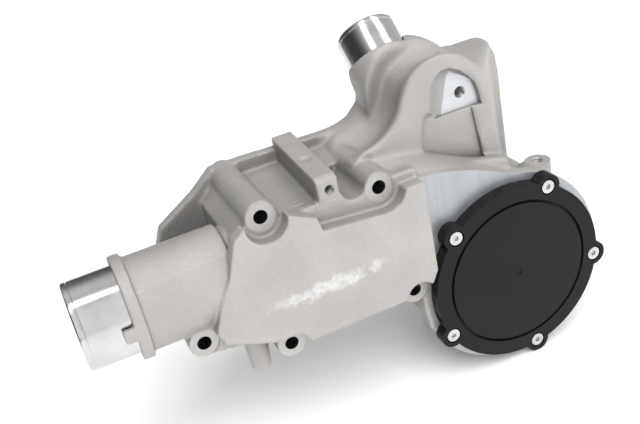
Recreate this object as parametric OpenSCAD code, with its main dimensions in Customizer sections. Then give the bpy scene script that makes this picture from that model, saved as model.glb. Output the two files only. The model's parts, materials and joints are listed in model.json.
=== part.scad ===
// Engine coolant pump: one cast housing with an inlet duct, a volute and a rising outlet neck.
// The origin is on the shaft axis, at the face that bolts to the engine.
// +X is to the right seen from the cover side, +Y points into the engine, +Z is up.

/* [Housing] */
// Distance from the engine face to the front plate of the duct
plate_depth = 87; // [85:0.5:88]
// Distance from the engine face to the milled plane of the bolt seats and the cover seat
boss_depth = 76; // [75.5:0.5:77]
// Distance from the engine face to the front of the outlet neck
neck_depth = 55; // [54:0.5:56]
// Thickness of the flange against the engine
flange_t = 8; // [7:0.5:9]
// Outer radius of the volute flange under the cover
volute_flange_r = 68.5; // [68.5:0.5:72]
// Outer radius of the volute behind its flange
volute_r = 64; // [62:0.5:66]

/* [Engine bolts] */
// Diameter of the through holes for the M8 engine bolts
bolt_hole_d = 9; // [8.4:0.1:9]
// Radius of the bolt columns
column_r = 10.2; // [9.5:0.1:10.5]
// Radius of the wrench clearance cut into the front plate
wrench_r = 13; // [12:0.5:13.5]
// Outer diameter of the hollow dowels
dowel_d = 12; // [11.5:0.1:12.5]

/* [Hose tubes] */
// Outer diameter of the inlet tube
inlet_d = 55.2; // [54:0.2:56]
// Outer diameter of the outlet tube
outlet_d = 42; // [41:0.2:42.6]
// Upward tilt of the outlet tube, from the horizontal
outlet_tilt = 43; // [41:1:45]
// Wall of both tubes
tube_wall = 2.8; // [2.4:0.1:3]

/* [Cover] */
// Thickness of the cover
cover_t = 9; // [8.5:0.5:10]
// Outer radius of the cover
cover_r = 63; // [62:0.5:64]
// Radius of the circle through the five cover screws
screw_circle_r = 61.4; // [61:0.1:62]
// Radius of the flat disc in the middle of the cover
disc_r = 50.5; // [49:0.5:51]

/* [Rotor] */
// Radius of the pump shaft
shaft_r = 8.5; // [8:0.1:9]
// Radius of the impeller
impeller_r = 44; // [42:0.5:45]
// Number of impeller vanes
vane_count = 7; // [5:1:8]
// Teeth on the drive gear
gear_teeth = 22; // [21:1:22]
// Module of the drive gear
gear_module = 2.5; // [2.25:0.25:2.5]

/* [Hidden] */
$fn = 72;

cast_grey = [0.78, 0.77, 0.74];
bright_grey = [0.86, 0.87, 0.88];
steel_grey = [0.62, 0.63, 0.65];
rubber_black = [0.08, 0.08, 0.08];
cover_black = [0.13, 0.14, 0.14];

// Levels along the shaft, from the front to the rear
y_plate = -plate_depth;
y_boss = -boss_depth;
y_cast = y_boss;
y_neck = -neck_depth;
y_cover = y_cast - cover_t;
y_flange = -flange_t;
y_volute_in = -64;
y_duct_in = y_boss + 6;
y_disc = -70;
y_wall_front = -46;
y_wall_rear = -40;
y_suction_rear = -16;
hub_end = 36;

// Engine bolts as [x, z], from the upper left to the lower right
bolt_h1 = [-161.5, 103];
bolt_h2 = [-85.5, 94];
bolt_h3 = [-214, 36.5];
bolt_h4 = [-162, 12];
bolt_h5 = [-73.5, 13.5];
top_bolts = [bolt_h1, bolt_h2];
low_bolts = [bolt_h3, bolt_h4, bolt_h5];
dowel_bolts = [bolt_h1, bolt_h5];
dowel_seat = 7;

// Inlet tube, along X
inlet_y = -56;
inlet_z = 67;
inlet_face = -250;
inlet_end = -280.5;
inlet_shank = 18;
cast_tube_r = inlet_d / 2 + 1.9;
collar_r = inlet_d / 2 + 5;
collar_t = 7;
wall_x = -181.5;
tube_stop = -184.5;

// Outlet tube, tilted up in the plane X = outlet_x
outlet_x = -37;
outlet_end = [outlet_x, 19, 158];
outlet_seat = 16;
outlet_stand = 24;
outlet_shank = 6;
outlet_cast_r = outlet_d / 2 + 3.3;
outlet_cast_front = -19.5;

// Outlet neck, seen from the front
neck_c = [-22, 122];
neck_r = 32;
// Hollow between the front edge and the rear flange of the neck, formed by narrow steps
waist_front = -50.5;
waist_rear = -13;
waist_depth = 8;
waist_steps = 15;
lobe_c = [33, 125];
lobe_r = 12.5;
// Corners of the cast pocket and of the machined pad in it
pocket_rim = [
  [-33, 113], [-32.5, 122], [-30, 136], [-26.5, 142], [-18, 144], [-8, 139],
  [-1, 132.5], [3, 124], [4.5, 113]
];
pocket_pad = [
  [-24, 113], [-21, 124], [-18, 132.5], [-16.5, 137], [-14, 139.5], [-8, 136],
  [-0.5, 130.5], [2.5, 122], [4, 113]
];
pocket_steps = 5;
ledge_steps = 8;
ledge_pitch = (y_neck - y_cast) / ledge_steps;
pad_y = y_neck + 5;
pad_hole = [-8.5, 124];

// Bracket bar on top of the duct
bar_x = [-125, -110.5];
bar_front_z = 113;
bar_rear_z = 118;
bar_hole = [-117, 104.5];
floor_front_z = 96;
floor_rear_z = 102;

// Vertical threaded boss beside the cover
port_boss = [41, y_neck];
port_boss_top = 59;
port_boss_r = 9;

// Cover screws
screw_count = 5;
screw_phase = 62.5;
ear_r = 8.6;
screw_head_r = 4.7;
screw_head_t = 3.6;
screw_r = 2.95;
screw_tip = y_cast + 14;

// Shaft bearing with one ball row and one roller row
bearing_r = 23.5;
bearing_front = -8;
bearing_rear = 32;
race_r = 20.3;
ball_r = 4;
ball_pitch = 15.9;
ball_y = 1.5;
ball_count = 9;
roller_r = 3;
roller_pitch = 16.9;
roller_y0 = 12;
roller_y1 = 24;
roller_count = 12;
inner_race_r = roller_pitch - roller_r - 0.04;
run_gap = 0.05;

// Mechanical seal; its running faces lie a lubricating film apart
seal_bore_r = 19;
seal_front = -24;
seal_face = -30;
seal_film = 0.02;

// Drive gear
gear_y0 = 41;
gear_y1 = 58;
gear_bore = 7.5;
shaft_end = 76;
pitch_r = gear_teeth * gear_module / 2;

// ---------------------------------------------------------------- helpers

// Extrudes an [x, z] outline from y0 to y1
module along_y(y0, y1) translate([0, y1, 0]) rotate([90, 0, 0]) linear_extrude(y1 - y0) children();

// Round bar parallel to the shaft
module rod_y(p, r, y0, y1) translate([p[0], y1, p[1]]) rotate([90, 0, 0]) cylinder(h = y1 - y0, r = r);

// Round bar along X at the height of the inlet
module rod_x(r, x0, x1) translate([x0, inlet_y, inlet_z]) rotate([0, 90, 0]) cylinder(h = x1 - x0, r = r);

// Ring about the shaft
module ring_y(r_out, r_in, y0, y1) difference() {
  rod_y([0, 0], r_out, y0, y1);
  rod_y([0, 0], r_in, y0 - 1, y1 + 1);
}

// Bar along the outlet tube; distances run back from the tube's open end
module rod_out(r, back0, back1) translate(outlet_end) rotate([outlet_tilt - 90, 0, 0])
  translate([0, 0, -back1]) cylinder(h = back1 - back0, r = r);

module box(x, y, z) translate([x[0], y[0], z[0]]) cube([x[1] - x[0], y[1] - y[0], z[1] - z[0]]);

function screw_at(i) = let (a = screw_phase + 360 / screw_count * i)
  [screw_circle_r * cos(a), screw_circle_r * sin(a)];

// ---------------------------------------------------------------- housing outlines

module plate_outline() difference() {
  polygon([
    [-59.6, 92], [-59.6, 28], [-64, 20], [-83, 15], [-151, 14.5], [-157, 23], [-175, 24],
    [-204, 36], [-207, 44], [-200, 62], [-191, 77], [-183, 99], [-176, 104], [-150, 104],
    [-131, 94.5], [-129, 85], [-85, 80.5], [-76, 92]
  ]);
  for (b = top_bolts) translate(b) circle(r = wrench_r);
  for (b = low_bolts) translate(b) circle(r = column_r);
}

module duct_outline() polygon([
  [-59, 96], [-59, 28], [-66, 19], [-83, 14.5], [-151, 14], [-175, 22], [-203, 34],
  [-204, 44], [-196, 58], [-186, 66], [wall_x, 76], [wall_x, 92], [-171, 103], [-161, 96]
]);

module left_flange_outline() polygon([
  [-222, 30], [-223, 46], [-219, 66], [-211, 84], [-184, 100], [-169, 112], [-131, 111],
  [-88, 109.5], [-77.6, 110.5], [-69.4, 113], [-60.5, 121], [-50, 90], [-50, 20], [-64, 5],
  [-82, 8], [-84, 12], [-150, 12], [-154, 5], [-170, 5], [-176, 16], [-205, 28]
]);

// Front face of the volute, with the shallow arc above the cover
module volute_face_outline() {
  circle(r = volute_flange_r);
  intersection() {
    translate([-72.4, -58.7]) circle(r = 149.8);
    translate([-62, 0]) square([92, 96]);
  }
  translate([-66.5, -22]) square([20, 40]);
}

// Bell shape of the neck; inset draws the waist
module neck_outline(inset = 0) {
  translate(neck_c) circle(r = neck_r - inset);
  difference() {
    polygon([
      [-92, 60], [-92, 103], [-80, 109.9], [-52.6 + inset * 0.95, 131.5 - inset * 0.3],
      neck_c, [10 - inset, 122], [15 - inset, 74], [15 - inset, 60]
    ]);
    translate([-84.6, 141.6]) circle(r = 33.2 + inset);
  }
}

module lobe_outline() {
  translate(lobe_c) circle(r = lobe_r);
  polygon([
    [-20, 0], [-20, 124], [-8, 146], [4, 139.5], [16, 137.5],
    lobe_c + [0, lobe_r], lobe_c + [lobe_r, 0], [47.5, 45], [56, 0]
  ]);
}

// ---------------------------------------------------------------- housing

module volute_solid() {
  along_y(y_cast, y_cast + 12) volute_face_outline();
  rod_y([0, 0], volute_r, y_cast + 11, y_flange);
  along_y(y_cast + 11, y_flange) polygon([[-62, 2], [-62, 96], [-40, 90], [14, 74], [14, 2]]);
  for (i = [0:screw_count - 1]) rod_y(screw_at(i), ear_r, y_cast, y_cast + 20);
  // Sloping ledge between the machined face and the neck
  for (i = [0:ledge_steps - 1]) let (t = i / (ledge_steps - 1))
    along_y(y_cast + 1 + i * ledge_pitch, y_neck + 1) intersection() {
      translate([-72.4, -58.7] + t * [-22.6, -3.3]) circle(r = 149.8 + t * 15.7);
      translate([-78, 60]) square([106, 60]);
    }
}

module neck_solid() {
  along_y(y_neck, waist_front) neck_outline();
  for (i = [0:waist_steps - 1]) let (pitch = (waist_rear - waist_front) / waist_steps)
    along_y(waist_front + i * pitch - 0.2, waist_front + (i + 1) * pitch)
      neck_outline(waist_depth * sin(180 * (i + 0.5) / waist_steps));
  along_y(waist_rear - 0.2, y_flange) neck_outline();
  along_y(waist_rear, 0) translate([-23.5, 121]) circle(r = 34.3);
  intersection() {
    along_y(y_neck, 0) lobe_outline();
    translate([0, 0, -5]) linear_extrude(170)
      polygon([[-20, y_neck + 1], [10, y_neck + 1], [47.5, 0], [-20, 0]]);
  }
  intersection() {
    rod_out(outlet_cast_r, outlet_stand, outlet_stand + 38);
    box([-80, 10], [outlet_cast_front, 30], [80, 175]);
  }
}

module duct_solid() {
  along_y(y_plate, y_boss) plate_outline();
  along_y(y_boss, y_flange) duct_outline();
  rod_x(cast_tube_r, inlet_face, tube_stop);
  rod_x(cast_tube_r - 3, tube_stop - 1, -176);
  rod_x(collar_r, inlet_face, inlet_face + collar_t);
  // Stop for the hose clamp
  intersection() {
    difference() {
      rod_x(collar_r, inlet_face - 7, inlet_face + 1);
      rod_x(inlet_d / 2 + 1, inlet_face - 8, inlet_face + 2);
    }
    box([inlet_face - 7, inlet_face + 1], [inlet_y - 40, inlet_y], [inlet_z - 5, inlet_z + 4]);
  }
  for (b = top_bolts) rod_y(b, column_r, y_boss, 0);
  for (b = low_bolts) rod_y(b, column_r - 0.7, y_boss, 0);
  // Webs from the columns to the duct
  along_y(y_boss, y_flange) polygon([[-172, 103], [-172, 90], [-148, 90], [-151, 103]]);
  along_y(y_boss, y_flange) polygon([[-96, 94], [-108, 90], [-60, 90], [-75, 98]]);
  along_y(y_boss, y_flange) polygon([[-216, 46], [-222, 38], [-214, 28], [-190, 24], [-190, 46]]);
  along_y(y_boss, y_flange) polygon([[-171, 14], [-158, 8], [-150, 30], [-178, 30]]);
  along_y(y_boss, y_flange) polygon([[-82, 10], [-66, 9], [-58, 30], [-90, 30]]);
  // Drafted peg under the duct
  translate([-181, -60, -6.5]) cylinder(h = 38, r1 = 6.5, r2 = 9);
}

// Floor between the columns, rising to the rear
module duct_floor(x0, x1) translate([x0, 0, 0]) rotate([90, 0, 90]) linear_extrude(x1 - x0)
  polygon([[y_boss, 80], [y_boss, floor_front_z + 2], [y_boss + 5, floor_front_z + 2],
    [y_boss + 6, floor_front_z], [y_flange, floor_rear_z], [y_flange, 80]]);

module bracket_bar() {
  translate([bar_x[0], 0, 0]) rotate([90, 0, 90]) linear_extrude(bar_x[1] - bar_x[0])
    polygon([[y_boss, 84], [y_boss, bar_front_z - 2], [y_boss + 3, bar_front_z],
      [-4, bar_rear_z], [-4, 84]]);
  along_y(y_boss, y_boss + 14) polygon([[-127, 84], [-125, 97], [-107.5, 99], [-104, 95], [-104, 84]]);
}

module port_boss_solid() {
  translate([port_boss[0], port_boss[1], 26]) cylinder(h = port_boss_top - 26, r = port_boss_r);
  box([10, 40], [y_neck - 5, y_neck + 5], [40, port_boss_top - 4]);
}

module engine_flange() {
  along_y(y_flange, 0) {
    left_flange_outline();
    circle(r = 61);
    polygon([[-60, 60], [-74, 109], [-60.5, 121], [-58, 131], [-40, 137],
      [34, 137], [41, 132.5], [45.4, 125.4], [47, 112], [47.5, 45]]);
  }
  rod_y([0, 0], 31, -1, hub_end);
}

module housing_hollows() {
  // Inlet, duct and the port in the engine face
  rod_x(inlet_d / 2 - tube_wall, inlet_face - 1, -177);
  rod_x(inlet_d / 2 - 1.4, inlet_face - 1, inlet_face + inlet_shank);
  box([-177, -72], [y_plate + 5, y_duct_in + 1], [24, 76]);
  box([-177, -66], [y_duct_in, -12], [24, 88]);
  box([-176, -96], [-13, 1], [28, 82]);
  // Suction chamber around the shaft
  difference() {
    union() {
      rod_y([0, 0], 52, y_wall_rear, y_suction_rear);
      box([-80, -20], [y_wall_rear, y_suction_rear], [16, 50]);
    }
    rod_y([0, 0], 27, seal_front, 0);
  }
  rod_y([0, 0], 25, y_wall_front - 1, y_wall_rear + 1);
  // Impeller chamber and the way up into the neck
  rod_y([0, 0], 48, y_cast - 1, y_volute_in + 1);
  rod_y([0, 0], 54, y_volute_in, y_wall_front);
  along_y(y_volute_in, y_wall_front) polygon([[-44, 10], [-44, 79], [-2, 64], [-2, 10]]);
  box([-41, -3], [y_neck + 6, -14], [58, 84]);
  difference() {
    union() {
      box([-41, -3], [-44, -14], [83, 121]);
      rod_y([-22, 121], 18.9, -44, -14);
      intersection() {
        rod_out(outlet_d / 2 - 5, outlet_stand, outlet_stand + 40);
        box([-60, -10], [outlet_cast_front + 2.5, 30], [90, 175]);
      }
    }
    rod_y(pad_hole, 8, -45, pad_y + 15);
  }
  rod_out(outlet_d / 2 - 0.6, outlet_stand - 1, outlet_stand + outlet_shank);
  rod_out(outlet_d / 2 + 0.2, outlet_seat - 6, outlet_stand);
  // Lightening pocket behind the neck
  along_y(-22, 1) polygon([[10, 66], [10, 118], [17, 130], [26, 130], [26, 66]]);
}

module housing_machining() {
  for (b = concat(top_bolts, low_bolts)) rod_y(b, bolt_hole_d / 2, y_plate - 1, 1);
  for (b = dowel_bolts) rod_y(b, dowel_d / 2 + 0.6, -dowel_seat, 1);
  for (i = [0:screw_count - 1]) rod_y(screw_at(i), screw_r, y_cast - 1, screw_tip + 2);
  // Groove for the cover's sealing ring
  ring_y(54.4, 51.4, y_cast - 1, y_cast + 2);
  // Groove for the seal around the port
  along_y(-2.2, 1) difference() {
    port_ring_outline(5);
    port_ring_outline(2);
  }
  // Hub: bearing, circlip groove, seal bore and pilot groove
  rod_y([0, 0], bearing_r, bearing_front, hub_end + 1);
  rod_y([0, 0], bearing_r + 1.6, bearing_rear, bearing_rear + 1.8);
  rod_y([0, 0], seal_bore_r, seal_front - 1, -10);
  rod_y([0, 0], 13, -11, bearing_front + 1);
  rod_y([0, 0], inner_race_r + 2, bearing_front - 1, bearing_front + 1);
  ring_y(32, 28.6, 22, 25);
  // Drain from the space between seal and bearing
  translate([3, -9.2, -70]) cylinder(h = 58, r = 1.1);
  // Threaded holes and the pad on the neck
  for (i = [1:pocket_steps]) let (t = i / pocket_steps)
    along_y(y_neck - 1, y_neck + t * (pad_y - y_neck)) polygon(pocket_rim * (1 - t) + pocket_pad * t);
  along_y(y_neck - 1, y_neck + 3)
    polygon([[-42, 95], [-37.5, 118], [-24, 116], [-3, 116], [1, 74], [-21, 84]]);
  // Scoop between the bar and the bolt column beside it
  rod_y([-102, 99.5], 7.5, y_boss - 1, -34);
  rod_y(pad_hole, 3.4, pad_y - 1, pad_y + 12);
  rod_y(bar_hole, 2.5, y_boss - 1, y_boss + 16);
  // Shallow round mark on the bar's top
  translate([-118, -47, 113.9]) cylinder(h = 20, r = 4);
  translate([port_boss[0], port_boss[1], port_boss_top - 16]) cylinder(h = 20, r = 3.4);
}

module main_housing() color(cast_grey) difference() {
  union() {
    duct_solid();
    duct_floor(-172, -125);
    duct_floor(-111, -60);
    bracket_bar();
    volute_solid();
    neck_solid();
    port_boss_solid();
    engine_flange();
  }
  housing_hollows();
  housing_machining();
}

// ---------------------------------------------------------------- hose tubes

module inlet_spigot() color(bright_grey) difference() {
  union() {
    rod_x(inlet_d / 2, inlet_end + 0.8, inlet_end + 3);
    rod_x(inlet_d / 2 - 0.6, inlet_end, inlet_face);
    rod_x(inlet_d / 2, inlet_end + 4.5, inlet_face);
    rod_x(inlet_d / 2 - 1.4, inlet_face - 1, inlet_face + inlet_shank);
  }
  rod_x(inlet_d / 2 - tube_wall, inlet_end - 1, inlet_face + inlet_shank + 1);
}

module outlet_spigot() color(bright_grey) difference() {
  union() {
    rod_out(outlet_d / 2, 0.8, 3);
    rod_out(outlet_d / 2 - 0.6, 0, outlet_stand + outlet_shank);
    rod_out(outlet_d / 2, 4.5, outlet_seat);
  }
  rod_out(outlet_d / 2 - tube_wall, -1, outlet_stand + outlet_shank + 1);
}

// ---------------------------------------------------------------- cover

module front_cover() color(cover_black) difference() {
  union() {
    rod_y([0, 0], cover_r, y_cover, y_cast);
    for (i = [0:screw_count - 1]) rod_y(screw_at(i), ear_r, y_cover, y_cast);
  }
  // Hollow behind the front wall, with its stiffening ribs left standing
  difference() {
    rod_y([0, 0], 48, y_cover + 4, y_cast + 1);
    for (a = [0:60:120]) rotate([0, a, 0]) box([-50, 50], [y_cover + 3.5, y_cast - 1.5], [-1.2, 1.2]);
    rod_y([0, 0], 9, y_cover + 3, y_cast - 1.5);
  }
  // Groove that sets the disc off from the ring
  ring_y(disc_r + 2, disc_r, y_cover - 1, y_cover + 2.4);
  rod_y([0, 0], 2.2, y_cover - 1, y_cover + 0.4);
  for (i = [0:screw_count - 1]) {
    rod_y(screw_at(i), screw_r + 0.35, y_cover - 1, y_cast + 1);
    rod_y(screw_at(i), screw_head_r + 0.9, y_cover - 1, y_cover + screw_head_t);
  }
}

module cover_screws() color(bright_grey) for (i = [0:screw_count - 1]) difference() {
  union() {
    rod_y(screw_at(i), screw_head_r, y_cover + 0.2, y_cover + screw_head_t);
    rod_y(screw_at(i), screw_r, y_cover + screw_head_t, screw_tip);
  }
  rod_y(screw_at(i), 1.9, y_cover, y_cover + 2.2, $fn = 6);
}

module cover_o_ring() color(rubber_black) ring_y(54.2, 51.6, y_cast + 0.1, y_cast + 2);

// ---------------------------------------------------------------- impeller and shaft

// One vane: a strip on a spiral from the eye to the rim
vane_steps = 14;
vane_sweep = 62;
function vane_point(t, side) = let (
    r = 19 + (impeller_r - 19.2) * t,
    a = -vane_sweep * t + side * (1.5 / r) * 180 / PI
  ) [r * cos(a), r * sin(a)];

module vane_outline() polygon(concat(
  [for (i = [0:vane_steps]) vane_point(i / vane_steps, 1)],
  [for (i = [vane_steps:-1:0]) vane_point(i / vane_steps, -1)]
));

module impeller() color([0.7, 0.71, 0.72]) difference() {
  union() {
    rod_y([0, 0], impeller_r, y_disc - 2, y_disc + 2.5);
    rod_y([0, 0], 15, y_disc - 3, y_wall_front - 4);
    for (i = [0:vane_count - 1]) along_y(y_disc + 2, y_wall_front - 1)
      rotate(360 / vane_count * i) vane_outline();
  }
  rod_y([0, 0], 11.5, y_disc - 4, y_wall_front);
}

module impeller_bush() color(steel_grey) ring_y(11.5, shaft_r - 0.5, y_disc - 3, y_wall_front - 4);

module pump_shaft() color(steel_grey) difference() {
  union() {
    rod_y([0, 0], shaft_r - 0.5, y_disc - 4.5, y_wall_front - 3.5);
    rod_y([0, 0], shaft_r, y_wall_front - 4, bearing_front + 1);
    rod_y([0, 0], inner_race_r, bearing_front, bearing_rear + 4);
    rod_y([0, 0], gear_bore, bearing_rear + 3, shaft_end);
  }
  // Groove in which the balls run
  translate([0, ball_y, 0]) rotate([90, 0, 0]) rotate_extrude()
    translate([ball_pitch, 0]) circle(r = ball_r + run_gap);
  // Keyway of the gear
  box([-2.05, 2.05], [gear_y0 + 1, shaft_end - 17], [5, 10]);
}

// ---------------------------------------------------------------- bearing

module bearing_outer_ring() color(steel_grey) difference() {
  ring_y(bearing_r, race_r, bearing_front, bearing_rear);
  translate([0, ball_y, 0]) rotate([90, 0, 0]) rotate_extrude()
    translate([ball_pitch, 0]) circle(r = ball_r + run_gap + 0.42);
}

module bearing_balls() color(bright_grey) for (i = [0:ball_count - 1])
  rotate([0, 360 / ball_count * i, 0]) translate([ball_pitch, ball_y, 0]) sphere(r = ball_r);

module ball_cage() color([0.72, 0.62, 0.42]) difference() {
  ring_y(ball_pitch + 1.6, ball_pitch - 1.4, ball_y - 5, ball_y + 5);
  for (i = [0:ball_count - 1]) rotate([0, 360 / ball_count * i, 0])
    translate([ball_pitch, ball_y, 0]) sphere(r = ball_r + 0.15);
}

module bearing_rollers() color(bright_grey) for (i = [0:roller_count - 1])
  rotate([0, 360 / roller_count * i, 0]) rod_y([roller_pitch, 0], roller_r, roller_y0, roller_y1);

module roller_cage() color([0.72, 0.62, 0.42]) difference() {
  ring_y(roller_pitch + 1.5, roller_pitch - 1.5, roller_y0 - 2, roller_y1 + 2);
  for (i = [0:roller_count - 1]) rotate([0, 360 / roller_count * i, 0])
    rod_y([roller_pitch, 0], roller_r + 0.15, roller_y0 - 0.3, roller_y1 + 0.3);
}

module front_bearing_seal() color(rubber_black)
  ring_y(race_r, inner_race_r + run_gap, bearing_front + 0.2, bearing_front + 2);

module rear_bearing_seal() color(rubber_black)
  ring_y(race_r, inner_race_r + run_gap, bearing_rear - 2.2, bearing_rear - 0.2);

module bearing_circlip() color(steel_grey) difference() {
  ring_y(bearing_r + 1.4, bearing_r - 2.2, bearing_rear + 0.05, bearing_rear + 1.7);
  box([-2.5, 2.5], [bearing_rear - 1, bearing_rear + 3], [-28, -18]);
}

// ---------------------------------------------------------------- mechanical seal

module seal_cup() color([0.75, 0.68, 0.45]) {
  ring_y(seal_bore_r, seal_bore_r - 1, -23, -10.5);
  ring_y(seal_bore_r + 2.6, seal_bore_r - 1, -25.2, -24.05);
  ring_y(seal_bore_r, seal_bore_r - 1, -24.5, -22.5);
  ring_y(seal_bore_r - 0.5, 11.5, -11.5, -10.5);
}

module seal_carbon_ring() color([0.2, 0.2, 0.21]) ring_y(14.2, 10.4, seal_face + seal_film, -25.5);

module seal_bellows() color(rubber_black) {
  ring_y(15.6, 14.2, -29, -24.5);
  ring_y(15.6, 11.2, -25.5, -24);
  ring_y(12.6, 11.2, -24.5, -12);
  ring_y(16.4, 11.2, -13, -11.5);
}

seal_coil_turns = 4;
module seal_spring() color(steel_grey) for (i = [0:seal_coil_turns - 1])
  translate([0, -22.6 + i * 2.4, 0]) rotate([90, 0, 0]) rotate_extrude()
    translate([14.4, 0]) circle(r = 0.8);

module seal_seat() color([0.9, 0.88, 0.82]) ring_y(14.6, 10.4, -35, seal_face);

module seat_rubber() color(rubber_black) {
  ring_y(10.4, shaft_r, -36.5, -31);
  ring_y(14.6, 10, -36.5, -35);
}

// ---------------------------------------------------------------- drive gear

// One tooth gap to the next: root, flank, tip, flank
tooth_pitch = 360 / gear_teeth;
root_r = pitch_r - 1.25 * gear_module;
gear_hub_r = 12.5;
tip_r = pitch_r + gear_module;
function tooth_point(i, f, r) = let (a = (i + f) * tooth_pitch) [r * cos(a), r * sin(a)];

module gear_outline() polygon([for (i = [0:gear_teeth - 1]) each [
  tooth_point(i, -0.34, root_r), tooth_point(i, -0.24, pitch_r), tooth_point(i, -0.1, tip_r),
  tooth_point(i, 0.1, tip_r), tooth_point(i, 0.24, pitch_r), tooth_point(i, 0.34, root_r)
]]);

module drive_gear() color([0.45, 0.46, 0.48]) difference() {
  union() {
    along_y(gear_y0, gear_y1) gear_outline();
    rod_y([0, 0], gear_hub_r, gear_y0 - 3, gear_y1 + 1);
  }
  rod_y([0, 0], gear_bore, gear_y0 - 4, gear_y1 + 2);
  ring_y(root_r - 3.5, gear_hub_r, gear_y1 - 4, gear_y1 + 2);
  ring_y(root_r - 3.5, gear_hub_r, gear_y0 - 1, gear_y0 + 4);
  box([-2.05, 2.05], [gear_y0 - 4, gear_y1 + 2], [0, 9.8]);
}

module gear_key() color(steel_grey) box([-2, 2], [gear_y0 + 1.2, gear_y1 - 0.5], [5.05, 9.6]);

module gear_washer() color(steel_grey) ring_y(12.4, gear_bore + 0.05, gear_y1 + 1, gear_y1 + 3.5);

module gear_nut() color(steel_grey) difference() {
  rod_y([0, 0], 12, gear_y1 + 3.5, gear_y1 + 14, $fn = 6);
  rod_y([0, 0], gear_bore, gear_y1 + 3, gear_y1 + 15);
}

// ---------------------------------------------------------------- seals and dowels at the engine

// Rounded rectangle around the port, grown by g
module port_ring_outline(g) {
  corner = 6;
  for (x = [-176 + corner, -96 - corner]) for (z = [28 + corner, 82 - corner])
    translate([x, z]) circle(r = corner + g);
  translate([-176 - g, 28 + corner]) square([80 + 2 * g, 54 - 2 * corner]);
  translate([-176 + corner, 28 - g]) square([80 - 2 * corner, 54 + 2 * g]);
}

module port_face_seal() color(rubber_black) along_y(-2.2, 0.5) difference() {
  port_ring_outline(4.8);
  port_ring_outline(2.2);
}

module pilot_o_ring() color(rubber_black) ring_y(30.95, 28.7, 22.2, 24.8);

module dowel_bushes() color(steel_grey) for (b = dowel_bolts) difference() {
  union() {
    rod_y(b, dowel_d / 2 + 0.6, -dowel_seat, 0);
    rod_y(b, dowel_d / 2, -1, dowel_seat);
  }
  rod_y(b, bolt_hole_d / 2 + 0.5, -dowel_seat - 1, dowel_seat + 1);
}

main_housing();
inlet_spigot();
outlet_spigot();
front_cover();
cover_screws();
cover_o_ring();
impeller();
impeller_bush();
pump_shaft();
bearing_outer_ring();
bearing_balls();
ball_cage();
bearing_rollers();
roller_cage();
front_bearing_seal();
rear_bearing_seal();
bearing_circlip();
seal_cup();
seal_carbon_ring();
seal_bellows();
seal_spring();
seal_seat();
seat_rubber();
drive_gear();
gear_key();
gear_washer();
gear_nut();
pilot_o_ring();
port_face_seal();
dowel_bushes();
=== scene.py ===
import json
import math

import bmesh
import bpy
from mathutils import Matrix, Vector


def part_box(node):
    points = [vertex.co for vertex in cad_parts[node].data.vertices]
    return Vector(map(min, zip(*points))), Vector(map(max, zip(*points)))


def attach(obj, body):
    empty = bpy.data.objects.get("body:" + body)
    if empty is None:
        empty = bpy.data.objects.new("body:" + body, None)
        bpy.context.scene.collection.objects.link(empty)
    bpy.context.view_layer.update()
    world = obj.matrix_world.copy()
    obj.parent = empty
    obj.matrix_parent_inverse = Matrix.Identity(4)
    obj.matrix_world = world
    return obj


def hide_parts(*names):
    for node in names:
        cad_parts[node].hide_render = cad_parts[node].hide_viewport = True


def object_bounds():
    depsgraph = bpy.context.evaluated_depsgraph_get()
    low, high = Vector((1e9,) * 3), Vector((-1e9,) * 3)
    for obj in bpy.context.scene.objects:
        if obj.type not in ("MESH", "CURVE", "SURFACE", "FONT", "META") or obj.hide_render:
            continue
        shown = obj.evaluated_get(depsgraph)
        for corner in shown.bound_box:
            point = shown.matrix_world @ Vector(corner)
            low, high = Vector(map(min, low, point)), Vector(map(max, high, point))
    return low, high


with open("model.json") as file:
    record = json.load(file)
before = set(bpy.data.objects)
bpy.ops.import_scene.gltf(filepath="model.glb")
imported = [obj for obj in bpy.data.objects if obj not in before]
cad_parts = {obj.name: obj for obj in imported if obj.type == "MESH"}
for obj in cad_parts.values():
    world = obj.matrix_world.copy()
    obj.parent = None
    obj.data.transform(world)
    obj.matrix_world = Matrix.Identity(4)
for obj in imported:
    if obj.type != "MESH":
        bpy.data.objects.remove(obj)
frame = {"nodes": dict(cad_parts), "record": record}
cad_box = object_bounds()
nodes = frame["nodes"]
mounts = {m["name"]: m for m in frame["record"]["mounts"]}
scene = bpy.context.scene
MM = 0.001


# ---------------------------------------------------------------- camera, floor and light

# The camera's place in metres, and its turn in degrees: it looks down and to the right, with a roll
CAMERA_PLACE = (-0.2668, -0.5256, 0.3356)
CAMERA_YAW, CAMERA_DIP, CAMERA_ROLL = -17.454, 27.3105, -12.486
# The gap between the pump and the floor, in metres
FLOOR_GAP = 0.0005
# Where the floor's tone changes from dark to pale, along X in metres, and the two tones
FADE_FROM, FADE_TO = -0.85, -0.45
FLOOR_DARK, FLOOR_PALE = 0.12, 0.8
FLOOR_GLOW = 0.12
WORLD_LEVEL = 1.2
SUN_LEVEL, SUN_ANGLE = 3.0, 45
SUN_FROM = (-0.1, -0.58, 0.8)
STRIP_TARGET, STRIP_LENGTH, STRIP_POWER = (-0.04, 0, 0.15), 0.6, 1.2


def add_object(name, data):
    ob = bpy.data.objects.new(name, data)
    scene.collection.objects.link(ob)
    return ob


def camera():
    data = bpy.data.cameras.new("camera")
    data.lens, data.sensor_width = 50.0, 36.0
    data.clip_start, data.clip_end = 0.01, 50.0
    ob = add_object("camera", data)
    yaw = Matrix.Rotation(math.radians(CAMERA_YAW), 4, "Z")
    tilt = Matrix.Rotation(math.radians(90 - CAMERA_DIP), 4, "X")
    roll = Matrix.Rotation(math.radians(CAMERA_ROLL), 4, "Z")
    ob.matrix_world = Matrix.Translation(CAMERA_PLACE) @ yaw @ tilt @ roll
    scene.camera = ob


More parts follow.
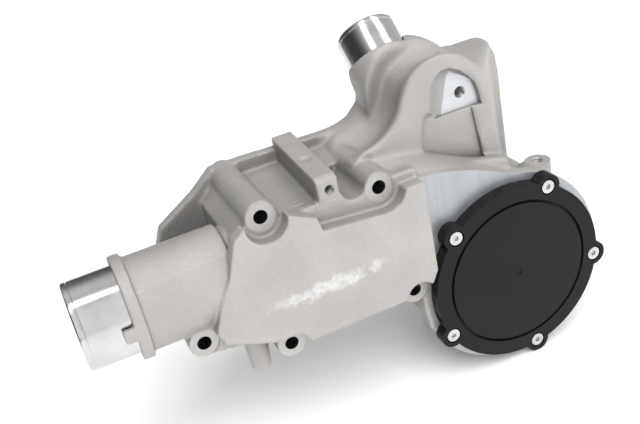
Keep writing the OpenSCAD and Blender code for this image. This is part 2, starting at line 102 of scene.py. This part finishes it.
def strip_light(name, place, width):
    data = bpy.data.lights.new(name, "AREA")
    data.shape, data.size, data.size_y = "RECTANGLE", width, STRIP_LENGTH
    data.energy = STRIP_POWER
    ob = add_object(name, data)
    ob.location = place
    ob.rotation_euler = (Vector(STRIP_TARGET) - Vector(place)).to_track_quat("-Z", "Y").to_euler()


def floor(z):
    """A pale floor whose tone falls away well to the left of the pump, outside the camera's view."""
    half = 8.0
    corners = [(-half, -half, z), (half, -half, z), (half, half, z), (-half, half, z)]
    me = bpy.data.meshes.new("floor")
    me.from_pydata(corners, [], [(0, 1, 2, 3)])
    mat = bpy.data.materials.new("floor")
    mat.use_nodes = True
    nt = mat.node_tree
    bsdf = nt.nodes["Principled BSDF"]
    bsdf.inputs["Roughness"].default_value = 0.95
    bsdf.inputs["Specular IOR Level"].default_value = 0.1
    bsdf.inputs["Emission Strength"].default_value = FLOOR_GLOW
    coord = nt.nodes.new("ShaderNodeTexCoord")
    split = nt.nodes.new("ShaderNodeSeparateXYZ")
    nt.links.new(coord.outputs["Object"], split.inputs[0])
    fade = nt.nodes.new("ShaderNodeMapRange")
    for k, v in enumerate((FADE_FROM, FADE_TO, FLOOR_DARK, FLOOR_PALE), 1):
        fade.inputs[k].default_value = v
    nt.links.new(split.outputs["X"], fade.inputs[0])
    nt.links.new(fade.outputs[0], bsdf.inputs["Base Color"])
    nt.links.new(fade.outputs[0], bsdf.inputs["Emission Color"])
    me.materials.append(mat)
    add_object("floor", me)


def grey(v):
    return (v, v, v)


# The studio's tone from left to right and from front to back, as (part of a direction, colour)
SIDE_TONES = [
    (-1, grey(0.05)), (-0.85, grey(0.08)), (-0.74, grey(0.2)), (-0.59, grey(0.55)),
    (-0.45, grey(0.8)), (0.6, grey(0.85)), (1, grey(0.68))
]
DEPTH_TONES = [
    (-1, (1.0, 0.98, 0.96)), (-0.7, (1.0, 0.98, 0.96)), (-0.45, grey(0.9)), (-0.2, grey(0.6)),
    (0.1, (0.63, 0.6, 0.57)), (0.38, grey(0.74)), (0.62, grey(0.6)), (0.82, grey(0.22)),
    (1, grey(0.1))
]


def studio():
    """A studio that is dark at the far left and far back, so that the turned tubes show bands."""
    world = bpy.data.worlds.new("world")
    world.use_nodes = True
    nt = world.node_tree
    bg = nt.nodes["Background"]
    coord = nt.nodes.new("ShaderNodeTexCoord")
    split = nt.nodes.new("ShaderNodeSeparateXYZ")
    nt.links.new(coord.outputs["Generated"], split.inputs[0])

    def ramp(source, stops):
        shift = nt.nodes.new("ShaderNodeMapRange")
        shift.inputs[1].default_value = -1.0
        nt.links.new(source, shift.inputs[0])
        node = nt.nodes.new("ShaderNodeValToRGB")
        nt.links.new(shift.outputs[0], node.inputs[0])
        marks = node.color_ramp.elements
        marks[0].color = (*stops[0][1], 1)
        marks[1].color = (*stops[-1][1], 1)
        for at, colour in stops[1:-1]:
            marks.new((at + 1) / 2).color = (*colour, 1)
        return node.outputs[0]

    side = ramp(split.outputs["X"], SIDE_TONES)
    depth = ramp(split.outputs["Y"], DEPTH_TONES)
    both = nt.nodes.new("ShaderNodeMix")
    both.data_type, both.blend_type = "RGBA", "MULTIPLY"
    both.inputs[0].default_value = 1.0
    nt.links.new(side, both.inputs[6])
    nt.links.new(depth, both.inputs[7])
    nt.links.new(both.outputs[2], bg.inputs[0])
    bg.inputs[1].default_value = WORLD_LEVEL
    scene.world = world
    scene.view_settings.view_transform = "Standard"
    sun = bpy.data.lights.new("key", "SUN")
    sun.energy, sun.angle = SUN_LEVEL, math.radians(SUN_ANGLE)
    ob = add_object("key", sun)
    # Its wide disc would show on the tubes as a flat white area
    ob.visible_glossy = False
    ob.rotation_euler = Vector(SUN_FROM).to_track_quat("Z", "Y").to_euler()
    strip_light("left_strip", (-0.4, -0.29, 1.25), 0.25)
    strip_light("right_strip", (0.6, -0.19, 1.15), 0.22)


# ---------------------------------------------------------------- materials

class Shader:
    """A procedural material: a Principled shader and a few helpers that add nodes to it."""

    def __init__(self, name, colour, metallic, rough, **extra):
        self.mat = bpy.data.materials.new(name)
        self.mat.use_nodes = True
        self.nt = self.mat.node_tree
        self.bsdf = self.nt.nodes["Principled BSDF"]
        self.bsdf.inputs["Base Color"].default_value = (*colour, 1)
        self.bsdf.inputs["Metallic"].default_value = metallic
        self.bsdf.inputs["Roughness"].default_value = rough
        for key, value in extra.items():
            self.bsdf.inputs[key.replace("_", " ")].default_value = value
        self.coord = self.nt.nodes.new("ShaderNodeTexCoord").outputs["Object"]
        self.normal = None

    def link(self, a, b):
        self.nt.links.new(a, b)

    def stretch(self, scale):
        """Object coordinates times scale, so that noise has few waves where scale is small."""
        node = self.nt.nodes.new("ShaderNodeMapping")
        node.inputs["Scale"].default_value = scale
        self.link(self.coord, node.inputs["Vector"])
        return node.outputs[0]

    def noise(self, scale, detail=3.0, rough=0.55, vector=None):
        """Noise of about 0.3 to 0.7, with scale waves in a metre."""
        node = self.nt.nodes.new("ShaderNodeTexNoise")
        node.inputs["Scale"].default_value = scale
        node.inputs["Detail"].default_value = detail
        node.inputs["Roughness"].default_value = rough
        self.link(vector or self.coord, node.inputs["Vector"])
        return node.outputs["Fac"]

    def span(self, value, lo, hi, out_lo=0.0, out_hi=1.0):
        """Maps value from lo..hi to out_lo..out_hi, and holds it there."""
        node = self.nt.nodes.new("ShaderNodeMapRange")
        for i, v in enumerate((lo, hi, out_lo, out_hi)):
            node.inputs[i + 1].default_value = v
        self.link(value, node.inputs[0])
        return node.outputs[0]

    def math(self, op, a, b):
        node = self.nt.nodes.new("ShaderNodeMath")
        node.operation = op
        for i, v in enumerate((a, b)):
            if isinstance(v, (int, float)):
                node.inputs[i].default_value = v
            else:
                self.link(v, node.inputs[i])
        return node.outputs[0]

    def mix(self, fac, a, b):
        node = self.nt.nodes.new("ShaderNodeMix")
        node.data_type = "RGBA"
        self.link(fac, node.inputs[0])
        for i, v in ((6, a), (7, b)):
            if isinstance(v, tuple):
                node.inputs[i].default_value = (*v, 1)
            else:
                self.link(v, node.inputs[i])
        return node.outputs[2]

    def bump(self, height, distance):
        """Bumps that are distance high (m), added to the ones that are there."""
        node = self.nt.nodes.new("ShaderNodeBump")
        node.inputs["Distance"].default_value = distance
        node.inputs["Strength"].default_value = 1.0
        self.link(height, node.inputs["Height"])
        if self.normal:
            self.link(self.normal, node.inputs["Normal"])
        self.normal = node.outputs[0]
        self.link(self.normal, self.bsdf.inputs["Normal"])

    def painted_hollow_shade(self, reach):
        """A painted-shade mask: 1 on open surfaces, falling to 0 deep in hollows narrower than reach
        (m).
        """
        node = self.nt.nodes.new("ShaderNodeAmbientOcclusion")
        node.samples = 8
        node.inputs["Distance"].default_value = reach
        return self.span(node.outputs["AO"], 0.25, 0.95)

    def paint(self, colour):
        self.link(colour, self.bsdf.inputs["Base Color"])

    def shine(self, value):
        self.link(value, self.bsdf.inputs["Roughness"])


def scaled(colour, k):
    return tuple(min(1.0, c * k) for c in colour)


def worn(name, colour, metallic, rough, grain, depth, spread=0.08):
    """A material with fine grain, slow changes of tone and uneven gloss."""
    s = Shader(name, colour, metallic, rough)
    slow = s.noise(38, 4)
    s.paint(s.mix(s.span(slow, 0.3, 0.7), scaled(colour, 1 - spread), scaled(colour, 1 + spread)))
    s.shine(s.span(s.noise(150, 3), 0.3, 0.7, rough - spread * 0.8, rough + spread * 0.8))
    s.bump(s.noise(grain, 3), depth)
    return s.mat


# The strip on the front plate that handling has rubbed bright: its centre in metres, the scales
# that turn its oval into a circle of about 1, and its colour
RUBBED_PLACE = (-0.132, -0.087, 0.0485)
RUBBED_SCALES = (27.0, 300.0, 165.0)
RUBBED_COLOUR = (0.68, 0.68, 0.68)


def rubbed_strip(s):
    """1 inside the rubbed strip, with a ragged edge, and 0 outside it."""
    place = s.nt.nodes.new("ShaderNodeVectorMath")
    place.operation = "SUBTRACT"
    s.link(s.coord, place.inputs[0])
    place.inputs[1].default_value = RUBBED_PLACE
    oval = s.nt.nodes.new("ShaderNodeVectorMath")
    oval.operation = "MULTIPLY"
    s.link(place.outputs[0], oval.inputs[0])
    oval.inputs[1].default_value = RUBBED_SCALES
    size = s.nt.nodes.new("ShaderNodeVectorMath")
    size.operation = "LENGTH"
    s.link(oval.outputs[0], size.inputs[0])
    edge = s.span(s.noise(110, 4, 0.6), 0.3, 0.7, -0.45, 0.45)
    ragged = s.math("ADD", size.outputs["Value"], edge)
    patches = s.span(s.noise(420, 3), 0.35, 0.6, 0.3, 0.85)
    return s.math("MULTIPLY", s.span(ragged, 1.1, 0.6), patches)


def cast_metal():
    """Sand-cast aluminium with specks, scratches, a rubbed strip and painted shade in the hollows.
    """
    base = (0.465, 0.451, 0.436)
    s = Shader("cast_aluminium", base, 0.5, 0.44)
    slow = s.span(s.noise(24, 5), 0.35, 0.65)
    fine = s.span(s.noise(900, 4, 0.7), 0.32, 0.68)
    tone = s.mix(slow, scaled(base, 0.93), scaled(base, 1.07))
    specks = s.span(s.noise(520, 2), 0.66, 0.74)
    tone = s.mix(s.math("MULTIPLY", fine, 0.28), tone, scaled(base, 0.8))
    tone = s.mix(s.math("MULTIPLY", specks, 0.35), tone, (0.34, 0.32, 0.30))
    scratch = s.span(s.noise(160, 2, 0.6, s.stretch((0.25, 1.0, 5.0))), 0.73, 0.78)
    tone = s.mix(s.math("MULTIPLY", scratch, 0.5), tone, (0.8, 0.8, 0.79))
    rubbed = rubbed_strip(s)
    tone = s.mix(rubbed, tone, RUBBED_COLOUR)
    # Painted shade: the colour falls towards half the base tone in the hollows, where shade falls
    s.paint(s.mix(s.painted_hollow_shade(0.06), scaled(base, 0.5), tone))
    s.shine(s.math("SUBTRACT", s.span(fine, 0, 1, 0.42, 0.58), s.math("MULTIPLY", rubbed, 0.16)))
    s.bump(s.noise(1000, 3, 0.6), 0.00018)
    s.bump(s.noise(330, 3), 0.0003)
    s.bump(s.noise(60, 2), 0.0005)
    return s.mat


def milled_metal(name, lines, base=(0.72, 0.745, 0.78), metallic=1.0, rough=0.3):
    """A milled face with fine cutter marks and slow bands; lines scales them along x, y and z."""
    s = Shader(name, base, metallic, rough)
    bands = s.span(s.noise(60, 4, 0.6, s.stretch(lines)), 0.3, 0.7)
    s.paint(s.mix(bands, scaled(base, 0.88), scaled(base, 1.08)))
    s.shine(s.span(bands, 0, 1, rough - 0.05, rough + 0.06))
    s.bump(s.noise(500, 3, 0.6, s.stretch(lines)), 0.00002)
    return s.mat


def turned_metal(name, base, rough, tint=0.08):
    """Turned and polished metal with slight stains."""
    s = Shader(name, base, 1.0, rough)
    s.shine(s.span(s.noise(120, 4), 0.3, 0.7, rough * 0.6, rough * 1.6))
    stain = s.span(s.noise(70, 5), 0.35, 0.7)
    s.paint(s.mix(stain, scaled(base, 1 - tint), scaled(base, 1 + tint)))
    s.bump(s.noise(700, 2), 0.00001)
    return s.mat


def black_cover():
    """Black moulded plastic with a faint grain."""
    base = (0.007, 0.0082, 0.0092)
    s = Shader("moulded_cover", base, 0.0, 0.42, Specular_IOR_Level=0.19)
    slow = s.span(s.noise(30, 4), 0.3, 0.7)
    s.paint(s.mix(slow, scaled(base, 0.88), scaled(base, 1.14)))
    s.shine(s.span(s.noise(260, 3), 0.3, 0.7, 0.36, 0.5))
    s.bump(s.noise(1500, 2), 0.00005)
    return s.mat


def slot_materials():
    """One procedural material for each material slot of the record."""
    return {
        "cast_aluminium": cast_metal(),
        "machined_aluminium": turned_metal("machined_aluminium", (0.66, 0.66, 0.665), 0.15),
        "moulded_cover": black_cover(),
        "zinc_steel": turned_metal("zinc_steel", (0.66, 0.67, 0.68), 0.3, 0.1),
        "ground_steel": turned_metal("ground_steel", (0.5, 0.51, 0.52), 0.24, 0.1),
        "gear_steel": worn("gear_steel", (0.27, 0.275, 0.285), 1.0, 0.36, 400, 0.00006, 0.12),
        "spring_steel": worn("spring_steel", (0.42, 0.42, 0.43), 1.0, 0.3, 600, 0.00004),
        "seal_rubber": worn("seal_rubber", (0.02, 0.02, 0.021), 0.0, 0.6, 900, 0.00008, 0.1),
        "cast_impeller": worn("cast_impeller", (0.5, 0.5, 0.5), 0.6, 0.5, 500, 0.0002, 0.08),
        "cage_plastic": worn("cage_plastic", (0.45, 0.33, 0.16), 0.0, 0.45, 700, 0.00005, 0.08),
        "brass_cup": worn("brass_cup", (0.6, 0.45, 0.2), 1.0, 0.3, 500, 0.00005, 0.08),
        "carbon": worn("carbon", (0.03, 0.03, 0.032), 0.0, 0.3, 900, 0.00003, 0.1),
        "ceramic": worn("ceramic", (0.78, 0.75, 0.68), 0.0, 0.25, 900, 0.00003, 0.05),
    }


# ---------------------------------------------------------------- mesh helpers

def mesh_object(name, bm, mats):
    """A new object with the mesh of bm, which is used up."""
    me = bpy.data.meshes.new(name)
    bm.to_mesh(me)
    bm.free()
    for m in mats:
        me.materials.append(m)
    return add_object(name, me)


def applied(ob):
    """Bakes the modifiers of ob into its mesh."""
    dg = bpy.context.evaluated_depsgraph_get()
    dg.update()
    me = bpy.data.meshes.new_from_object(ob.evaluated_get(dg))
    old = ob.data
    ob.modifiers.clear()
    ob.data = me
    me.name = ob.name
    bpy.data.meshes.remove(old)
    return ob


def weld(node):
    """A copy of a CAD node's mesh as a bmesh, with its split edges closed."""
    split_gap = 2e-6
    bm = bmesh.new()
    bm.from_mesh(nodes[node].data)
    bmesh.ops.remove_doubles(bm, verts=bm.verts, dist=split_gap)
    return bm


def axis_matrix(origin, axis):
    """Places +Z along axis, with its foot at origin (mm)."""
    quat = Vector((0, 0, 1)).rotation_difference(Vector(axis).normalized())
    return Matrix.Translation(Vector(origin) * MM) @ quat.to_matrix().to_4x4()


def turns(steps):
    return [2 * math.pi * i / steps for i in range(steps)]


def turned_vertex(bm, matrix, r, h, a):
    """A vertex at radius r, height h (mm) and angle a about +Z of matrix."""
    return bm.verts.new(matrix @ (Vector((r * math.cos(a), r * math.sin(a), h)) * MM))


def add_lathe(bm, profile, matrix, steps):
    """Closed ring: profile is a closed loop of (radius, height) in mm about +Z of matrix."""
    slices = [[turned_vertex(bm, matrix, r, h, a) for r, h in profile] for a in turns(steps)]
    n = len(profile)
    for p, q in zip(slices, slices[1:] + slices[:1]):
        for k in range(n):
            j = (k + 1) % n
            bm.faces.new((p[k], q[k], q[j], p[j]))


def add_turned(bm, profile, matrix, steps, mat):
    """Closed bar turned from (radius, height) points in mm along +Z of matrix."""
    rings = [[turned_vertex(bm, matrix, r, h, a) for a in turns(steps)] for r, h in profile]
    faces = [bm.faces.new(list(reversed(rings[0]))), bm.faces.new(rings[-1])]
    for low, high in zip(rings, rings[1:]):
        for i in range(steps):
            j = (i + 1) % steps
            faces.append(bm.faces.new((low[i], low[j], high[j], high[i])))
    for f in faces:
        f.material_index = mat


def add_rod(bm, r, h0, h1, matrix, steps, mat):
    """Closed bar from h0 to h1 (mm) along +Z of matrix."""
    add_turned(bm, [(r, h0), (r, h1)], matrix, steps, mat)


def add_loft(bm, sections, mat):
    """Closed solid through ([x, z] outline, y) sections in mm that have equal numbers of corners."""
    rings = [[bm.verts.new(Vector((x, y, z)) * MM) for x, z in outline] for outline, y in sections]
    faces = [bm.faces.new(rings[0]), bm.faces.new(list(reversed(rings[-1])))]
    for a, b in zip(rings, rings[1:]):
        for i in range(len(a)):
            j = (i + 1) % len(a)
            faces.append(bm.faces.new((a[j], a[i], b[i], b[j])))
    for f in faces:
        f.material_index = mat
    bmesh.ops.recalc_face_normals(bm, faces=faces)


def add_prism(bm, outline, y0, y1, mat):
    """Closed prism of an [x, z] outline (mm) from y0 to y1."""
    add_loft(bm, [(outline, y0), (outline, y1)], mat)


def add_box(bm, x, y, z, mat):
    """Box between the x, y and z limits in mm."""
    add_prism(bm, [(x[0], z[0]), (x[1], z[0]), (x[1], z[1]), (x[0], z[1])], y[0], y[1], mat)


def cut(ob, build, mats):
    """Cuts the solid made by build(bm) out of ob; the new faces take the cutter's material."""
    bm = bmesh.new()
    build(bm)
    bmesh.ops.recalc_face_normals(bm, faces=bm.faces)
    tool = mesh_object("cutter", bm, mats)
    mod = ob.modifiers.new("cut", "BOOLEAN")
    mod.operation, mod.object, mod.solver = "DIFFERENCE", tool, "MANIFOLD"
    applied(ob)
    data = tool.data
    bpy.data.objects.remove(tool)
    bpy.data.meshes.remove(data)


def finish_mesh(ob, angle):
    """Shades ob smooth, apart from edges that turn by more than angle (degrees)."""
    for p in ob.data.polygons:
        p.use_smooth = True
    ob.data.set_sharp_from_angle(angle=math.radians(angle))


def piece(ob, body, node):
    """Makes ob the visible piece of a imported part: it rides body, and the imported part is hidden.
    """
    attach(ob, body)
    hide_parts(node)


# ---------------------------------------------------------------- housing

def record_axis(m):
    """The middle (mm), the axis and the sizes of a mount of the record."""
    return Vector(m["pos_m"]) / MM, Vector(m["axis"]), m["dims"]


def mouth(m):
    """Point (mm) in the middle of a hole's open end."""
    p, a, d = record_axis(m)
    return p + a * d["length_mm"] / 2


BOLTS = [m for m in mounts.values() if m["kind"] == "bore"]
THREADS = [m for m in mounts.values() if m["kind"] == "threaded_hole"]
PAD = mounts["neck_pad_thread"]
PORT = mounts["port_boss_thread"]
# Sizes below are in mm. The skin's cell, and the stock that it carries where it will be milled
VOXEL = 0.95
STOCK = 0.9
# The bars that fill the small holes before the skin is made are this much wider in radius
FILL = 1.2
FILLET_PASSES = 5
# The milled front face of the volute, as the front cover sits on it: its depth, its left end and
# the heights between which it lies
Y_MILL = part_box("front_cover")[1].y / MM
MILLED_LEFT = -59.2
MILLED_HEIGHTS = (-90, 110)
BOLT_SEAT_R = 9.4
PORT_SEAT_R = 12
NECK_FRONT = -55.0
# The material slots of the housing
CAST, FRONT, SEAT, REAR, DRILLED, THREADED, PAD_FACE = range(7)

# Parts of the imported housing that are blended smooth, as smoothing passes and x, y and z limits:
# the hollow of the neck, its rear flange, the ledge, the corner between the neck's front and its
# lobe, and the front edge of the neck
BLENDS = (
    (40, (-95, 45), (-51, -4), (97, 160)),
    (110, (-80, -38), (-17, -0.5), (97, 138)),
    (40, (-76, 28), (-75, -56), (60, 106)),
    (60, (-6, 22), (-57, -40), (126, 148)),
    (50, (-78, 22), (-57, -45), (92, 156)),
)
# The machined pad of the neck, and the rim of the cast pocket around it, as [x, z] outlines with
# equal numbers of corners
PAD_OUTLINE = [
    (-24, 113), (-22.5, 118), (-20.5, 125), (-19, 130), (-17.5, 134.5), (-16.3, 137.8),
    (-14, 139.5), (-8, 136), (-3.5, 133), (0.5, 129.5), (2.5, 122), (4, 113)
]
POCKET_RIM = [
    (-34, 113), (-34, 122), (-32.8, 131.5), (-30.3, 138), (-26.5, 142), (-22, 144.3),
    (-16, 144.3), (-9, 140.5), (-3, 135), (1.5, 129), (3.8, 121), (4.5, 113)
]
# The shallow panel below the pad
PANEL_OUTLINE = [(-42, 95), (-37.5, 118), (-24, 116), (-3, 116), (1, 74), (-21, 84)]
PANEL_DEPTH = 3.0


def hole_rods(bm, holes, grow, past, mat):
    """Bars along holes of the record, wider by grow and longer by past at both ends."""
    for m in holes:
        p, a, d = record_axis(m)
        half = d["length_mm"] / 2 + past
        add_rod(bm, d["r_mm"] + grow, -half, half, axis_matrix(p, a), 48, mat)


def thread_rods(bm):
    """Bars with thread grooves along the threaded holes, with a countersink at the mouth."""
    sink, past = 0.6, 3
    for m in THREADS:
        p, a, d = record_axis(m)
        r, half = d["r_mm"], d["length_mm"] / 2
        pitch = 1.25 if r > 3 else 1.0
        profile, h = [(r, -half)], -half + pitch
        while h < half - 1.5 * pitch:
            profile += [(r, h), (r + pitch * 0.4, h + pitch / 2), (r, h + pitch * 0.9)]
            h += pitch
        profile += [(r, half - sink), (r + sink, half), (r + sink, half + past)]
        add_turned(bm, profile, axis_matrix(p, a), 48, THREADED)


def raw_casting():
    """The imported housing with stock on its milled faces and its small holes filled."""
    bm = weld("main_housing")
    port = mouth(PORT)
    on_plane = 0.02
    # Each milled plane as its axis, its level and the way that it faces
    planes = [(1, Y_MILL, -1), (1, 0.0, 1), (1, mouth(PAD).y, -1), (2, port.z, 1)]
    for v in bm.verts:
        from_port = math.hypot(v.co.x / MM - port.x, v.co.y / MM - port.y)
        for axis, level, way in planes:
            near = axis == 1 or from_port < PORT_SEAT_R
            if near and abs(v.co[axis] / MM - level) < on_plane:
                v.co[axis] += way * STOCK * MM
                break
    hole_rods(bm, BOLTS + THREADS, FILL, STOCK, CAST)
    bmesh.ops.recalc_face_normals(bm, faces=bm.faces)
    return bm


def inside(v, region):
    """Whether a vertex lies between the x, y and z limits of region."""
    return all(lo < c / MM < hi for c, (lo, hi) in zip(v.co, region))


def skin_casting(mats):
    """The raw casting as an even skin, with its steps blended and its edges rounded."""
    ob = mesh_object("housing_casting", raw_casting(), mats)
    mod = ob.modifiers.new("skin", "REMESH")
    mod.mode, mod.voxel_size, mod.adaptivity = "VOXEL", VOXEL * MM, 0.0
    applied(ob)
    for k, (passes, *region) in enumerate(BLENDS):
        group = ob.vertex_groups.new(name="blend_%d" % k)
        group.add([v.index for v in ob.data.vertices if inside(v, region)], 1.0, "REPLACE")
        mod = ob.modifiers.new(group.name, "SMOOTH")
        mod.factor, mod.iterations, mod.vertex_group = 0.5, passes, group.name
    mod = ob.modifiers.new("fillets", "SMOOTH")
    mod.factor, mod.iterations = 0.5, FILLET_PASSES
    return applied(ob)


def milled_faces(bm):
    """Blocks that mill the engine face and the front of the volute."""
    margin, ahead = 5, 30
    low, high = [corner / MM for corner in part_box("main_housing")]
    x0, x1 = low.x - margin, high.x + margin
    add_box(bm, (x0, x1), (0, high.y + margin), (low.z - margin, high.z + margin), REAR)
    add_box(bm, (MILLED_LEFT, x1), (Y_MILL - ahead, Y_MILL), MILLED_HEIGHTS, FRONT)


def spot_faces(bm):
    """Bars that face the seats of the bolts and of the upright boss."""
    reach = 20
    for m in BOLTS:
        p = record_axis(m)[0]
        seat = (p.x, Y_MILL, p.z)
        add_rod(bm, BOLT_SEAT_R, -reach, 0, axis_matrix(seat, (0, 1, 0)), 64, SEAT)
    add_rod(bm, PORT_SEAT_R, 0, reach, axis_matrix(mouth(PORT), (0, 0, 1)), 48, SEAT)


def pocket(bm):
    """A rounded pocket that narrows from its rim to the outline of the pad."""
    steps = 6
    # A little short of the pad, so that the pad's own cut leaves one clean face
    depth = (mouth(PAD).y - NECK_FRONT) * 0.998
    sections = []
    # The first section stands in front of the neck, so that the pocket is open
    for k in range(-1, steps + 1):
        t = k / steps
        outline = []
        for (x, z), (u, w) in zip(POCKET_RIM, PAD_OUTLINE):
            outline.append((x + (u - x) * t, z + (w - z) * t))
        sections.append((outline, NECK_FRONT + depth * math.sin(math.radians(90 * t))))
    add_loft(bm, sections, CAST)


def panel(bm):
    ahead = 3
    add_prism(bm, PANEL_OUTLINE, NECK_FRONT - ahead, NECK_FRONT + PANEL_DEPTH, CAST)


def pad_face(bm):
    ahead = 6
    add_prism(bm, PAD_OUTLINE, NECK_FRONT - ahead, mouth(PAD).y, PAD_FACE)


def bolt_holes(bm):
    past = 6
    hole_rods(bm, BOLTS, 0, past, DRILLED)


def housing():
    """The main housing: a cast skin, then each face and hole cut into it."""
    mats = (
        materials["cast_aluminium"],
        milled_metal("milled_front", (3.0, 1.0, 0.25), (0.47, 0.49, 0.52), 0.8, 0.42),
        milled_metal("milled_seat", (2.0, 1.0, 0.3), (0.49, 0.48, 0.465), 0.6, 0.46),
        milled_metal("milled_rear", (0.1, 1.0, 5.0)),
        # The drilled bores are coloured dark grey: painted shade inside the bolt holes
        turned_metal("drilled", (0.3, 0.3, 0.3), 0.4),
        turned_metal("threaded", (0.7, 0.7, 0.7), 0.3),
        milled_metal("milled_pad", (0.4, 1.0, 2.5), (0.62, 0.64, 0.68), 0.6, 0.4),
    )
    ob = skin_casting(mats)
    for build in (milled_faces, spot_faces, pocket, panel, pad_face, bolt_holes, thread_rods):
        cut(ob, build, mats)
    finish_mesh(ob, 38)
    piece(ob, "housing", "main_housing")


# ---------------------------------------------------------------- other pieces

def dressed(node, name, body, width):
    """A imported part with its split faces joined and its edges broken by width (mm)."""
    flat, corner = math.radians(0.8), math.radians(32)
    bm = weld(node)
    bmesh.ops.dissolve_limit(bm, angle_limit=flat, verts=bm.verts, edges=bm.edges)
    ob = mesh_object(name, bm, (materials[slot_of[node]],))
    mod = ob.modifiers.new("edges", "BEVEL")
    mod.width, mod.segments = width * MM, 3
    mod.limit_method, mod.angle_limit = "ANGLE", corner
    mod.use_clamp_overlap = True
    applied(ob)
    finish_mesh(ob, 30)
    piece(ob, body, node)


# Wall of the hose tubes, and how far their tips stand out past the seat of the hose
TUBE_WALL = 2.8
TUBE_TIP = 4.5


def hose_tube(node, name, length):
    """A turned tube, length (mm) long, with a rounded tip and a faint groove behind it."""
    p, a, d = record_axis(mounts[name])
    r, bore, groove = d["r_mm"], d["r_mm"] - TUBE_WALL, 0.25
    tip = p + a * (d["length_mm"] / 2 + TUBE_TIP)
    inner_edge = [(bore, 0.6), (bore + 0.5, 0.1)]
    round_tip = [(r - 1.3, 0.0), (r - 0.5, 0.3), (r - 0.1, 0.9), (r, 1.6)]
    ring_groove = [(r, 3.2), (r - groove, 3.5), (r - groove, 4.1), (r, 4.4)]
    root = [(r, length), (bore, length)]
    bm = bmesh.new()
    profile = inner_edge + round_tip + ring_groove + root
    add_lathe(bm, profile, axis_matrix(tip, -a), 128)
    bmesh.ops.recalc_face_normals(bm, faces=bm.faces)
    ob = mesh_object(name, bm, (materials[slot_of[node]],))
    finish_mesh(ob, 20)
    piece(ob, "housing", node)


slot_of = {p["node"]: p["material_slot"] for p in frame["record"]["subparts"]}
materials = slot_materials()

# The CAD objects get the same materials as the pieces
for name, ob in nodes.items():
    for k in range(max(1, len(ob.material_slots))):
        if ob.material_slots:
            ob.material_slots[k].material = materials[slot_of[name]]
        else:
            ob.data.materials.append(materials[slot_of[name]])

camera()
floor(cad_box[0].z - FLOOR_GAP)
studio()

housing()
dressed("front_cover", "cover", "housing", 0.7)
dressed("cover_screws", "cover_screw_set", "housing", 0.3)
hose_tube("inlet_spigot", "inlet_tube", 48.0)
hose_tube("outlet_spigot", "outlet_tube", 29.5)
dressed("drive_gear", "gear", "rotor", 0.3)
dressed("gear_nut", "nut", "rotor", 0.5)
dressed("gear_washer", "washer", "rotor", 0.3)
dressed("dowel_bushes", "dowels", "housing", 0.4)
